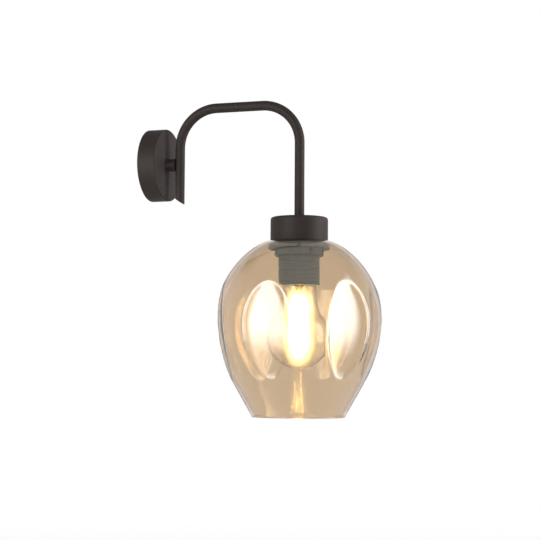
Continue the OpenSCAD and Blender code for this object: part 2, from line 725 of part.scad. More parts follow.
// Half section of the bulb's glass, r smaller by the given amount
neck_in = bulb_cap_d / 2 - bulb_thread - 0.45;
shoulder_a = 42;
function bulb_line(d) = let (
    r = bulb_d / 2 - d,
    p = [[neck_r - d, barrel_end], [neck_r - d + 1.2, barrel_end - 9],
        [r * cos(shoulder_a) - 9 * sin(shoulder_a), ball_z + r * sin(shoulder_a) + 9 * cos(shoulder_a)],
        [r * cos(shoulder_a), ball_z + r * sin(shoulder_a)]])
    concat([[neck_in - d, cap_end + 6], [neck_in - d, cap_end], [neck_in - d + 1.6, cap_end - 1.2]],
        [for (i = [0:8]) cubic(p, i / 8)],
        [for (i = [1:24]) let (a = shoulder_a - (shoulder_a + 90) * i / 24)
            [max(0, r * cos(a)), ball_z + r * sin(a)]]);

module bulb_envelope() {
    outside = bulb_line(0);
    inside = bulb_line(bulb_glass);
    color([0.95, 0.95, 0.95, 0.5]) lamp() rotate_extrude()
        polygon(concat(outside, [for (i = [len(inside) - 1:-1:0]) inside[i]]));
}

// Glass mount that rises from the neck and carries the light sticks
module bulb_stem() {
    color([0.9, 0.92, 0.93, 0.6]) lamp() rotate_extrude() polygon([
        [0, cap_end + 5.5], [neck_in - bulb_glass - 0.02, cap_end + 5.5],
        [neck_in - bulb_glass - 0.02, cap_end + 4.5], [5.5, cap_end - 1], [stem_r, stick_high + 4],
        [stem_r, stick_low + 4], [2.6, stick_low + 3], [0, stick_low + 2]]);
}

module bulb_filaments() {
    color("orange") lamp() for (i = [0:stick_n - 1]) rotate([0, 0, 360 * (i + 0.5) / stick_n])
        translate([stick_top, 0, stick_high]) rotate([0, 180 - stick_lean, 0])
            cylinder(r = stick_d / 2, h = stick_len);
}

// Wires that join the light sticks to the stem at both ends
module filament_wires() {
    r = 0.3;
    tilt = stick_d / 2 * sin(stick_lean);
    color("silver") lamp() {
        for (i = [0:stick_n - 1]) rotate([0, 0, 360 * (i + 0.5) / stick_n]) {
            translate([stem_r, 0, stick_high + 1]) rotate([0, 90, 0])
                cylinder(r = r, h = stick_top + r - stem_r);
            translate([stick_top, 0, 0]) rod(r, stick_high + tilt, stick_high + 1);
            translate([1, 0, stick_low - 1]) rotate([0, 90, 0])
                cylinder(r = r, h = stick_foot + r - 1);
            translate([stick_foot, 0, 0]) rod(r, stick_low - 1, stick_low - tilt);
        }
        rod(1.4, stick_low - 1.6, stick_low + 2);
    }
}

module bulb_driver() {
    color("seagreen") lamp() {
        translate([-7, -0.5, cap_end + 5.5]) cube([14, 1, collar_low - cap_end - 7.5]);
        translate([-4, 0.5, cap_end + 8]) cube([6, 3, 4]);
    }
}

wall_bracket();
wall_plate();
plate_screws();
terminal_block();
terminal_tubes();
terminal_screws();
block_screw();
earth_screw();
earth_lead();
arm_nipple();
nipple_washer();
nipple_nut();
arm_stub();
arm_tube();
arm_end_bush();
live_wire();
neutral_wire();
holder_cup();
cup_washer();
lampholder_cap();
lampholder_insert();
lampholder_barrel();
screw_shell();
centre_contact();
side_contact();
holder_terminals();
holder_terminal_screws();
shade_ring();
glass_shade();
bulb_contact();
bulb_insulator();
bulb_cap();
bulb_envelope();
bulb_stem();
bulb_filaments();
filament_wires();
bulb_driver();
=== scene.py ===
import bpy, bmesh, math
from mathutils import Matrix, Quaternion, Vector


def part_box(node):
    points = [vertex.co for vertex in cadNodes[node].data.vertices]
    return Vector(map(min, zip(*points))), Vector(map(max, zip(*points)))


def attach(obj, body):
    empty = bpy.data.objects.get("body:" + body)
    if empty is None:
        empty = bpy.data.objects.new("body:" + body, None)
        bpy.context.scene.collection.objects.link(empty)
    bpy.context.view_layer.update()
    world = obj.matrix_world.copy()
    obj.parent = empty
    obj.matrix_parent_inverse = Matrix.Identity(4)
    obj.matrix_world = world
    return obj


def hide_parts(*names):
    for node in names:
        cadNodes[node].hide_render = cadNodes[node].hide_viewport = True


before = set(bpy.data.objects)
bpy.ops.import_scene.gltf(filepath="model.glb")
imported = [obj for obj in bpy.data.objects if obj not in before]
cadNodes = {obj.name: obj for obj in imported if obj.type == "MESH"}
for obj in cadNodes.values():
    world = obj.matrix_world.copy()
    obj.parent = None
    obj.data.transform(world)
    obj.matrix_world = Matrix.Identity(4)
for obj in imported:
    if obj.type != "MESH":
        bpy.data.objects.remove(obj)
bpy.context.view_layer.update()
scene = bpy.context.scene
mm = 0.001
cupLow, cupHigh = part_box("holder_cup")
lampY = (cupLow[1] + cupHigh[1]) / 2      # shade, holder and bulb share this upright axis
cupRim = cupLow[2] / mm
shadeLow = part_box("glass_shade")[0][2]
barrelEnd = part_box("lampholder_barrel")[0][2] / mm
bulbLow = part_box("bulb_envelope")[0][2] / mm
print("frame loaded,", len(cadNodes), "nodes")

# camera, matched to the outlines of plate, tube, cup and glass
cameraSettings = {"azimuth": -70.6, "elevation": -3.94, "roll": 0.37, "distance": 1.4306,
                  "target": (-0.0088, -0.1281, -0.1059), "lens": 100.0}
azimuth, elevation = (math.radians(cameraSettings[k]) for k in ("azimuth", "elevation"))
backwards = Vector((math.sin(azimuth) * math.cos(elevation),
                    -math.cos(azimuth) * math.cos(elevation), math.sin(elevation)))
camera = bpy.data.objects.new("camera", bpy.data.cameras.new("camera"))
scene.collection.objects.link(camera)
camera.data.sensor_width = 36
camera.data.lens = cameraSettings["lens"]
camera.location = Vector(cameraSettings["target"]) + backwards * cameraSettings["distance"]
camera.rotation_mode = "QUATERNION"
camera.rotation_quaternion = (-backwards).to_track_quat("-Z", "Y") @ Quaternion(
    (0, 0, 1), math.radians(cameraSettings["roll"]))
scene.camera = camera
scene.view_settings.view_transform = "Standard"
print("camera placed")


def linear(hexColour):
    channels = [int(hexColour[i:i + 2], 16) / 255 for i in (1, 3, 5)]
    return [c / 12.92 if c <= 0.04045 else ((c + 0.055) / 1.055) ** 2.4 for c in channels] + [1]


def addNode(tree, kind, inputs=(), **settings):
    made = tree.nodes.new(kind)
    for name, value in settings.items():
        setattr(made, name, value)
    for key, source in (inputs.items() if isinstance(inputs, dict) else enumerate(inputs)):
        if isinstance(source, bpy.types.Node):
            source = source.outputs[0]
        if isinstance(source, bpy.types.NodeSocket):
            tree.links.new(source, made.inputs[key])
        else:
            made.inputs[key].default_value = source
    return made


def startMaterial(name, sockets):
    material = bpy.data.materials.new(name)
    material.use_nodes = True
    tree = material.node_tree
    shader = tree.nodes["Principled BSDF"]
    for socket, value in sockets.items():
        shader.inputs[socket].default_value = value
    return material, tree, shader, addNode(tree, "ShaderNodeTexCoord").outputs["Object"]


# 1 for what the eye sees, straight on, in a mirror or through glass, and 0 for light on its way in;
# the kind of ray comes with it
def seenByEye(tree):
    way = addNode(tree, "ShaderNodeLightPath")
    eye = addNode(tree, "ShaderNodeMath", [way.outputs["Is Camera Ray"], way.outputs["Is Glossy Ray"]],
                  operation="MAXIMUM")
    eye = addNode(tree, "ShaderNodeMath", [eye, way.outputs["Is Transmission Ray"]],
                  operation="MAXIMUM")
    return way, eye


# Opaque finish: cloudy change between two close colours, uneven gloss and a fine surface bump.
# patch and grain are sizes in mm, depth is the bump's height in mm.
def solidFinish(name, colour, shade, patch, gloss, grain, depth, stretch=(1, 1, 1), **sockets):
    material, tree, shader, place = startMaterial(
        name, {key.replace("_", " "): value for key, value in sockets.items()})
    place = addNode(tree, "ShaderNodeMapping", {"Vector": place, "Scale": stretch})
    clouds = addNode(tree, "ShaderNodeTexNoise",
                     {"Vector": place, "Scale": 1000 / patch, "Detail": 3.0, "Roughness": 0.55})
    mixed = addNode(tree, "ShaderNodeMix",
                    {0: clouds, 6: linear(colour), 7: linear(shade)}, data_type="RGBA")
    tree.links.new(mixed.outputs[2], shader.inputs["Base Color"])
    fine = addNode(tree, "ShaderNodeTexNoise",
                   {"Vector": place, "Scale": 1000 / grain, "Detail": 2.0, "Roughness": 0.5})
    rough = addNode(tree, "ShaderNodeMapRange",
                    {"Value": clouds, "From Min": 0.3, "From Max": 0.7,
                     "To Min": gloss[0], "To Max": gloss[1]})
    tree.links.new(rough.outputs[0], shader.inputs["Roughness"])
    bump = addNode(tree, "ShaderNodeBump", {"Height": fine, "Distance": depth * mm, "Strength": 1.0})
    tree.links.new(bump.outputs[0], shader.inputs["Normal"])
    return material


# A glass wall gives up its gloss between from and to, where 1 is edge-on. That sets in over radii
# from the lamp's axis and over heights above the shade's mouth, in mm. edgePower keeps its darker
# tint near the edge.
rimSettings = {"from": 0.72, "to": 0.97, "radii": (36, 46), "heights": (3, 7), "edgePower": 4.0}


# Glass: clear for light on its way in, so that what stands inside is lit; the tint gathers towards
# the edges, where the line of sight runs further through the wall. rim is how much of the last
# sliver before the outline gives its mirror gloss up to the tint of the wall seen edge-on, flare is
# a haze for what is looked at directly, and streak is a second ripple, drawn out upwards.
def glassFinish(name, face, edge, ripple, depth, rim=0.0, flare=0.0, streak=None, **sockets):
    material, tree, shader, place = startMaterial(
        name, {key.replace("_", " "): value for key, value in sockets.items()})
    facing = addNode(tree, "ShaderNodeLayerWeight", {"Blend": 0.5}).outputs["Facing"]
    curve = addNode(tree, "ShaderNodeMath", [facing, rimSettings["edgePower"]], operation="POWER")
    tint = addNode(tree, "ShaderNodeMix",
                   {0: curve, 6: linear(face), 7: linear(edge)}, data_type="RGBA")
    tree.links.new(tint.outputs[2], shader.inputs["Base Color"])
    waves = addNode(tree, "ShaderNodeTexNoise",
                    {"Vector": place, "Scale": 1000 / ripple, "Detail": 1.0})
    bump = addNode(tree, "ShaderNodeBump", {"Height": waves, "Distance": depth * mm, "Strength": 1.0})
    if streak:
        drawn = addNode(tree, "ShaderNodeMapping",
                        {"Vector": place, "Scale": (1, 1, streak["squeeze"])})
        drawn = addNode(tree, "ShaderNodeTexNoise",
                        {"Vector": drawn, "Scale": 1000 / streak["width"], "Detail": 1.0})
        bump = addNode(tree, "ShaderNodeBump", {"Height": drawn, "Distance": streak["depth"] * mm,
                                                "Strength": 1.0, "Normal": bump})
    tree.links.new(bump.outputs[0], shader.inputs["Normal"])
    path = addNode(tree, "ShaderNodeLightPath")
    if flare:
        direct = addNode(tree, "ShaderNodeMath", [1.0, path.outputs["Glossy Depth"]],
                         operation="SUBTRACT", use_clamp=True)
        haze = addNode(tree, "ShaderNodeMath", [direct, flare], operation="MULTIPLY")
        tree.links.new(haze.outputs[0], shader.inputs["Roughness"])
    way = path.outputs["Is Shadow Ray"]
    single = [c ** 0.5 for c in linear(face)]      # tint of one skin: each wall has two
    through = addNode(tree, "ShaderNodeBsdfTransparent", {"Color": single})
    if rim:
        s = rimSettings
        sliver = addNode(tree, "ShaderNodeMapRange",
                         {"Value": facing, "From Min": s["from"], "From Max": s["to"],
                          "To Max": rim}, interpolation_type="SMOOTHSTEP")
        # beside the black cup the glass keeps its gloss, which mirrors the cup
        axis = addNode(tree, "ShaderNodeVectorMath", [place, (0, lampY, 0)], operation="SUBTRACT")
        axis = addNode(tree, "ShaderNodeVectorMath", [axis, (1, 1, 0)], operation="MULTIPLY")
        away = addNode(tree, "ShaderNodeVectorMath", [axis], operation="LENGTH").outputs["Value"]
        clear = addNode(tree, "ShaderNodeMapRange",
                        {"Value": away, "From Min": s["radii"][0] * mm,
                         "From Max": s["radii"][1] * mm})
        sliver = addNode(tree, "ShaderNodeMath", [sliver, clear], operation="MULTIPLY")
        # and so does the fire-polished rim of the mouth
        height = addNode(tree, "ShaderNodeSeparateXYZ", [place]).outputs["Z"]
        clear = addNode(tree, "ShaderNodeMapRange",
                        {"Value": height, "From Min": shadeLow + s["heights"][0] * mm,
                         "From Max": shadeLow + s["heights"][1] * mm})
        sliver = addNode(tree, "ShaderNodeMath", [sliver, clear], operation="MULTIPLY")
        skin = addNode(tree, "ShaderNodeMix",
                       {0: way, 6: tint.outputs[2], 7: single}, data_type="RGBA")
        way = addNode(tree, "ShaderNodeMath", [way, sliver], operation="MAXIMUM")
        tree.links.new(skin.outputs[2], through.inputs["Color"])
    mixed = addNode(tree, "ShaderNodeMixShader", [way, shader.outputs[0], through])
    tree.links.new(mixed.outputs[0], tree.nodes["Material Output"].inputs["Surface"])
    return material


powderCoat = solidFinish(       # baked matt black powder on steel: soft sheen, faint orange peel
    "mattBlackPowderCoat", "#241f1e", "#201b1a", 40, (0.5, 0.58), 0.8, 0.005,
    Specular_IOR_Level=0.08)
zincPlate = solidFinish(        # electroplated zinc: bluish grey, satin
    "zincPlatedSteel", "#c6cacf", "#b3b7bb", 6, (0.28, 0.42), 0.3, 0.004, Metallic=1.0)
nickelPlate = solidFinish(      # nickel plate on thin brass: warm grey and fairly bright
    "nickelPlatedBrass", "#cbc6bc", "#bbb5aa", 8, (0.2, 0.32), 0.3, 0.003, Metallic=1.0)
machinedBrass = solidFinish(    # turned brass: yellow, fine rings from the tool
    "machinedBrass", "#d8b564", "#c7a04e", 5, (0.22, 0.36), 0.25, 0.005, (1, 1, 6), Metallic=1.0)
solderDot = solidFinish(        # tin-lead free solder: dull silver, slightly dimpled
    "solder", "#b9bbbd", "#a2a4a6", 2, (0.35, 0.5), 0.7, 0.05, Metallic=1.0)
greyPlastic = solidFinish(      # moulded thermoplastic polyester: slate grey, fine eroded texture
    "mouldedGreyPolyester", "#6f7e8f", "#677687", 25, (0.42, 0.52), 0.25, 0.006,
    Specular_IOR_Level=0.25)
whiteNylon = solidFinish(       # moulded polyamide: milky white, waxy
    "mouldedWhitePolyamide", "#efece4", "#e6e2d8", 12, (0.38, 0.48), 0.4, 0.006,
    Subsurface_Weight=0.15, Subsurface_Scale=0.002)
porcelain = solidFinish(        # glazed electrical porcelain: ivory, glossy, slightly wavy
    "glazedPorcelain", "#efe8d8", "#e6ddca", 15, (0.12, 0.2), 3, 0.02, Coat_Weight=0.6)
vitrite = solidFinish(          # black insulating glass of a bulb cap
    "blackVitrite", "#131214", "#1b191c", 5, (0.08, 0.15), 1.5, 0.01)
brownPvc = solidFinish(         # extruded soft PVC, live
    "brownPvc", "#6a3c23", "#5f351e", 10, (0.35, 0.45), 0.5, 0.008)
bluePvc = solidFinish(          # extruded soft PVC, neutral
    "bluePvc", "#2e67ac", "#285c9c", 10, (0.35, 0.45), 0.5, 0.008)
boardLaminate = solidFinish(    # glass-fibre laminate under white solder mask
    "whiteFibreglassBoard", "#e9e4d6", "#ddd7c8", 3, (0.25, 0.35), 0.4, 0.01)
amberGlass = glassFinish(       # mouth-blown soda-lime glass, champagne tint: rippled, thin dark edge
    "blownChampagneGlass", "#dfcfb9", "#a9826e", 30, 0.08, 0.85,
    streak={"width": 7, "squeeze": 0.1, "depth": 0.03}, Transmission_Weight=1.0, Roughness=0.0,
    IOR=1.5)
bulbGlass = glassFinish(        # clear bulb glass: the lit sticks flare in it when looked at directly
    "clearBulbGlass", "#fcfaf6", "#f0eade", 20, 0.02, 0.0, 0.12, Transmission_Weight=1.0, IOR=1.5)
mountGlass = glassFinish(       # pressed glass of the bulb's mount
    "pressedMountGlass", "#f6f8f7", "#cfd6d4", 3, 0.05, Transmission_Weight=1.0,
    Roughness=0.02, IOR=1.5)


# earth wire: green PVC with a yellow stripe along each side
def stripedPvc():
    s = {"green": "#2f8a3c", "yellow": "#e3c52a", "twist": 18.0, "sway": 0.5, "roughness": 0.4}
    material, tree, shader, place = startMaterial("greenYellowPvc", {"Roughness": s["roughness"]})
    axes = addNode(tree, "ShaderNodeSeparateXYZ", [place])
    turned = addNode(tree, "ShaderNodeMath",
                     [axes.outputs["Z"], 2 * math.pi / (s["twist"] * mm)], operation="MULTIPLY")
    sway = addNode(tree, "ShaderNodeMath", [turned], operation="SINE")
    shift = addNode(tree, "ShaderNodeMath", [sway, s["sway"] * mm, axes.outputs["X"]],
                    operation="MULTIPLY_ADD")
    side = addNode(tree, "ShaderNodeMath", [shift, 0.0], operation="GREATER_THAN")
    mixed = addNode(tree, "ShaderNodeMix",
                    {0: side, 6: linear(s["green"]), 7: linear(s["yellow"])}, data_type="RGBA")
    tree.links.new(mixed.outputs[2], shader.inputs["Base Color"])
    return material


# light sticks: yellow phosphor silicone that glows; it lights nothing matt, a lamp does that
def glowingPhosphor():
    s = {"off": "#dfa52c", "roughness": 0.5, "glow": (1.0, 0.66, 0.26), "dim": 182.0,
         "bright": 260.0, "chips": 2.0}
    material, tree, shader, place = startMaterial(
        "glowingPhosphor", {"Base Color": linear(s["off"]), "Roughness": s["roughness"]})
    dots = addNode(tree, "ShaderNodeTexNoise", {"Vector": place, "Scale": 1000 / s["chips"]})
    way = addNode(tree, "ShaderNodeLightPath")
    seen = addNode(tree, "ShaderNodeMath", [1.0, way.outputs["Is Diffuse Ray"]],
                   operation="SUBTRACT")
    level = addNode(tree, "ShaderNodeMapRange",
                    {"Value": dots, "To Min": s["dim"], "To Max": s["bright"]})
    power = addNode(tree, "ShaderNodeMath", [level, seen], operation="MULTIPLY")
    shader.inputs["Emission Color"].default_value = (*s["glow"], 1)
    tree.links.new(power.outputs[0], shader.inputs["Emission Strength"])
    return material


# painted glare round the lit sticks, as an eye or a lens sees it: a clear volume in the bulb that
# glows, strongest on the lamp's axis, and fades to nothing at the edge of its own outline, a spindle
# with blunt ends
glowSettings = {"centre": -159.5, "halfHeight": 41.0, "halfWidth": 18.0, "bluntness": 4, "sides": 48,
                "rows": 32, "colour": (1.0, 0.73, 0.26), "strength": 1900.0, "falloff": 1.9,
                "mirrored": 0.4}


def paintedGlareVolume():
    s = glowSettings
    material, tree, shader, place = startMaterial("paintedGlareVolume", {})
    shader.inputs["Alpha"].default_value = 0.0
    place = addNode(tree, "ShaderNodeVectorMath", [place, (0, lampY, s["centre"] * mm)],
                    operation="SUBTRACT")
    sizes = [s["halfWidth"] * mm] * 2 + [s["halfHeight"] * mm]
    place = addNode(tree, "ShaderNodeVectorMath", [place, sizes], operation="DIVIDE")
    flat = addNode(tree, "ShaderNodeVectorMath", [place, (1, 1, 0)], operation="MULTIPLY")
    across = addNode(tree, "ShaderNodeVectorMath", [flat, flat], operation="DOT_PRODUCT")
    height = addNode(tree, "ShaderNodeSeparateXYZ", [place]).outputs["Z"]
    along = addNode(tree, "ShaderNodeMath", [height, s["bluntness"]], operation="POWER")
    away = addNode(tree, "ShaderNodeMath", [across.outputs["Value"], along], operation="ADD")
    away = addNode(tree, "ShaderNodeMath", [away], operation="SQRT")
    left = addNode(tree, "ShaderNodeMath", [1.0, away], operation="SUBTRACT", use_clamp=True)
    left = addNode(tree, "ShaderNodeMath", [left, s["falloff"]], operation="POWER")
    level = addNode(tree, "ShaderNodeMath", [left, s["strength"]], operation="MULTIPLY")
    # its mirror images in the shade are kept fainter
    way = addNode(tree, "ShaderNodeLightPath")
    direct = addNode(tree, "ShaderNodeMapRange", {"Value": way.outputs["Glossy Depth"],
                                                  "To Min": 1.0, "To Max": s["mirrored"]})
    level = addNode(tree, "ShaderNodeMath", [level, direct], operation="MULTIPLY")
    light = addNode(tree, "ShaderNodeEmission", [(*s["colour"], 1), level])
    tree.links.new(light.outputs[0], tree.nodes["Material Output"].inputs["Volume"])
    return material


earthPvc = stripedPvc()
phosphor = glowingPhosphor()
# the bulb's dazzle as painted glare: a glowing volume that is no lamp
paintedGlareFinish = paintedGlareVolume()
print("finishes made")


def meshPiece(name, mesh, material, sharp=None):
    mesh.materials.clear()
    mesh.materials.append(material)
    mesh.polygons.foreach_set("use_smooth", [True] * len(mesh.polygons))
    if sharp is not None:
        mesh.set_sharp_from_angle(angle=math.radians(sharp))
    piece = bpy.data.objects.new(name, mesh)
    scene.collection.objects.link(piece)
    return piece


pointRadius = 1e-6      # a row that is narrower is one point, in mm


# Closed outline of (radius, height) in mm, spun round the lamp's axis. threaded holds the numbers of
# the rows that the thread is cut into.
def spin(name, outline, sides, threaded=()):
    build = bmesh.new()
    mask = build.verts.layers.float.new("threaded")
    rows = []
    for number, (radius, height) in enumerate(outline):
        row = []
        for k in range(sides if radius > pointRadius else 1):
            turn = 2 * math.pi * k / sides
            corner = build.verts.new((radius * mm * math.cos(turn),
                                      lampY + radius * mm * math.sin(turn), height * mm))
            corner[mask] = 1.0 if number in threaded else 0.0
            row.append(corner)
        rows.append(row)
    for this, after in zip(rows, rows[1:] + rows[:1]):
        for k in range(sides):
            ring = [this[k % len(this)], this[(k + 1) % len(this)],
                    after[(k + 1) % len(after)], after[k % len(after)]]
            ring = list(dict.fromkeys(ring))
            if len(ring) > 2:
                build.faces.new(ring)
    bmesh.ops.recalc_face_normals(build, faces=build.faces)
    mesh = bpy.data.meshes.new(name)
    build.to_mesh(mesh)
    build.free()
    return mesh


def startTree(name, sizes):
    tree = bpy.data.node_groups.new(name, "GeometryNodeTree")
    tree.interface.new_socket("Geometry", in_out="INPUT", socket_type="NodeSocketGeometry")
    for label in sizes:
        tree.interface.new_socket(label, in_out="INPUT", socket_type="NodeSocketFloat")
    tree.interface.new_socket("Finish", in_out="INPUT", socket_type="NodeSocketMaterial")
    tree.interface.new_socket("Geometry", in_out="OUTPUT", socket_type="NodeSocketGeometry")
    return tree, addNode(tree, "NodeGroupInput").outputs


def endTree(tree, given, geometry):
    real = addNode(tree, "GeometryNodeRealizeInstances", [geometry])
    painted = addNode(tree, "GeometryNodeSetMaterial", {"Geometry": real, "Material": given["Finish"]})
    addNode(tree, "NodeGroupOutput", [painted])
    return tree


# Runs a tree on a mesh and keeps the plain result
def runTree(name, mesh, tree, sizes, material, sharp=None):
    blank = bpy.data.objects.new(name + "Blank", mesh)
    scene.collection.objects.link(blank)
    modifier = blank.modifiers.new("shape", "NODES")
    modifier.node_group = tree
    for socket in tree.interface.items_tree:
        if socket.in_out == "INPUT" and socket.name in sizes:
            modifier[socket.identifier] = float(sizes[socket.name])
        elif socket.in_out == "INPUT" and socket.name == "Finish":
            modifier[socket.identifier] = material
    view = bpy.context.evaluated_depsgraph_get()
    result = bpy.data.meshes.new_from_object(blank.evaluated_get(view))
    blank.modifiers.clear()
    bpy.data.objects.remove(blank)
    result.name = name
    return meshPiece(name, result, material, sharp)


# Presses equal oval dimples into a spun shell; heights and depths are in metres, angles in radians
def dimpleTree():
    tree, given = startTree("pressDimples", ["Count", "Depth", "Half Angle", "Half Height",
                                             "Centre Height", "Turn", "Axis Y", "Edge",
                                             "Ridge", "Ridge Width"])
    place = addNode(tree, "ShaderNodeSeparateXYZ", [addNode(tree, "GeometryNodeInputPosition")])
    outwards = addNode(tree, "ShaderNodeMath", [place.outputs["Y"], given["Axis Y"]],
                       operation="SUBTRACT")
    turn = addNode(tree, "ShaderNodeMath", [outwards, place.outputs["X"]], operation="ARCTAN2")
    turn = addNode(tree, "ShaderNodeMath", [turn, given["Turn"]], operation="SUBTRACT")
    half = addNode(tree, "ShaderNodeMath", [math.pi, given["Count"]], operation="DIVIDE")
    lowest = addNode(tree, "ShaderNodeMath", [half, -1.0], operation="MULTIPLY")
    turn = addNode(tree, "ShaderNodeMath", [turn, half, lowest], operation="WRAP")
    across = addNode(tree, "ShaderNodeMath", [turn, given["Half Angle"]], operation="DIVIDE")
    across = addNode(tree, "ShaderNodeMath", [across, 2.0], operation="POWER")
    along = addNode(tree, "ShaderNodeMath", [place.outputs["Z"], given["Centre Height"]],
                    operation="SUBTRACT")
    along = addNode(tree, "ShaderNodeMath", [along, given["Half Height"]], operation="DIVIDE")
    along = addNode(tree, "ShaderNodeMath", [along, 2.0], operation="POWER")
    away = addNode(tree, "ShaderNodeMath", [across, along], operation="ADD")
    left = addNode(tree, "ShaderNodeMath", [1.0, away], operation="SUBTRACT", use_clamp=True)
    press = addNode(tree, "ShaderNodeMath", [left, given["Edge"]], operation="POWER")
    press = addNode(tree, "ShaderNodeMath", [press, given["Depth"]], operation="MULTIPLY")
    # low ridge of glass that the tool pushes up round the dimple
    border = addNode(tree, "ShaderNodeMath", [away], operation="SQRT")
    border = addNode(tree, "ShaderNodeMath", [border, 1.0], operation="SUBTRACT")
    border = addNode(tree, "ShaderNodeMath", [border, given["Ridge Width"]], operation="DIVIDE")
    border = addNode(tree, "ShaderNodeMath", [border, border], operation="MULTIPLY")
    border = addNode(tree, "ShaderNodeMath", [border, -1.0], operation="MULTIPLY")
    border = addNode(tree, "ShaderNodeMath", [border], operation="EXPONENT")
    ridge = addNode(tree, "ShaderNodeMath", [border, given["Ridge"]], operation="MULTIPLY")
    press = addNode(tree, "ShaderNodeMath", [ridge, press], operation="SUBTRACT")
    radial = addNode(tree, "ShaderNodeCombineXYZ", [place.outputs["X"], outwards, 0.0])
    radial = addNode(tree, "ShaderNodeVectorMath", [radial], operation="NORMALIZE")
    shift = addNode(tree, "ShaderNodeVectorMath", {0: radial, "Scale": press}, operation="SCALE")
    moved = addNode(tree, "GeometryNodeSetPosition", {"Geometry": given["Geometry"], "Offset": shift})
    return endTree(tree, given, moved)


# Cuts a right-hand screw thread into the rows marked threaded; both ends fade out. The crest is flat
# where the pitch's cosine is above Flat, and the groove is at its deepest below Valley.
def threadTree():
    tree, given = startTree("cutThread", ["Pitch", "Depth", "Low End", "High End", "Fade", "Axis Y",
                                          "Flat", "Valley"])
    place = addNode(tree, "ShaderNodeSeparateXYZ", [addNode(tree, "GeometryNodeInputPosition")])
    outwards = addNode(tree, "ShaderNodeMath", [place.outputs["Y"], given["Axis Y"]],
                       operation="SUBTRACT")
    turn = addNode(tree, "ShaderNodeMath", [outwards, place.outputs["X"]], operation="ARCTAN2")
    turn = addNode(tree, "ShaderNodeMath", [turn, 2 * math.pi], operation="DIVIDE")
    rise = addNode(tree, "ShaderNodeMath", [place.outputs["Z"], given["Pitch"]], operation="DIVIDE")
    phase = addNode(tree, "ShaderNodeMath", [rise, turn], operation="SUBTRACT")
    phase = addNode(tree, "ShaderNodeMath", [phase, 2 * math.pi], operation="MULTIPLY")
    wave = addNode(tree, "ShaderNodeMath", [phase], operation="COSINE")
    groove = addNode(tree, "ShaderNodeMapRange",
                     {"Value": wave, "From Min": given["Flat"], "From Max": given["Valley"],
                      "To Min": 0.0, "To Max": 1.0}, interpolation_type="SMOOTHSTEP")
    lowFade = addNode(tree, "ShaderNodeMath", [place.outputs["Z"], given["Low End"]],
                      operation="SUBTRACT")
    lowFade = addNode(tree, "ShaderNodeMath", [lowFade, given["Fade"]], operation="DIVIDE",
                      use_clamp=True)
    highFade = addNode(tree, "ShaderNodeMath", [given["High End"], place.outputs["Z"]],
                       operation="SUBTRACT")
    highFade = addNode(tree, "ShaderNodeMath", [highFade, given["Fade"]], operation="DIVIDE",
                       use_clamp=True)
    cut = addNode(tree, "ShaderNodeMath", [groove, lowFade], operation="MULTIPLY")
    cut = addNode(tree, "ShaderNodeMath", [cut, highFade], operation="MULTIPLY")
    mask = addNode(tree, "GeometryNodeInputNamedAttribute", {"Name": "threaded"}, data_type="FLOAT")
    cut = addNode(tree, "ShaderNodeMath", [cut, mask], operation="MULTIPLY")
    cut = addNode(tree, "ShaderNodeMath", [cut, given["Depth"]], operation="MULTIPLY")
    cut = addNode(tree, "ShaderNodeMath", [cut, -1.0], operation="MULTIPLY")
    radial = addNode(tree, "ShaderNodeCombineXYZ", [place.outputs["X"], outwards, 0.0])
    radial = addNode(tree, "ShaderNodeVectorMath", [radial], operation="NORMALIZE")
    shift = addNode(tree, "ShaderNodeVectorMath", {0: radial, "Scale": cut}, operation="SCALE")
    moved = addNode(tree, "GeometryNodeSetPosition", {"Geometry": given["Geometry"], "Offset": shift})
    return endTree(tree, given, moved)


dimples, thread = dimpleTree(), threadTree()


# point at t, from 0 to 1, on the cubic curve from the first of four points to the last
def cubic(points, t):
    return sum(((1 - t) ** 3 * points[0], 3 * (1 - t) ** 2 * t * points[1],
                3 * (1 - t) * t * t * points[2], t ** 3 * points[3]), Vector((0, 0)))


# glass shade, a smoother version of the CAD solid. Lengths are in mm and drops are from the cup's
# rim. The pulls are how far the outline's curves reach at their ends: in mm at the seat and the rim,
# and at the belly as shares of the height above and below it. crowding spaces the shoulder's rows,
# and flankEnd is where the flank's curve leaves off for the rounded rim.
shadeSettings = {"thickness": 2.4, "height": 167, "bellyRadius": 79.0, "bellyDrop": 75.4,
                 "bellyPullUp": 0.65, "bellyPullDown": 0.436, "seatFlat": 25.7, "seatRadius": 30.4,
                 "seatPull": (8.7, 1.15), "rimRadius": 44.4, "rimLean": 23.6, "rimPull": 21.3,
                 "rimSteps": 10, "holeRadius": 21, "holeEdge": (0.4, 0.5), "dimples": 6,
                 "dimpleDepth": 6, "dimpleHalfAngle": 18, "dimpleHalfHeight": 45,
                 "dimpleDrop": 86.5, "dimpleTurn": 55.5, "dimpleEdge": 0.8, "ridge": 0.3,
                 "ridgeWidth": 0.12, "sides": 276, "steps": 72, "crowding": 0.9, "flankEnd": 0.985}


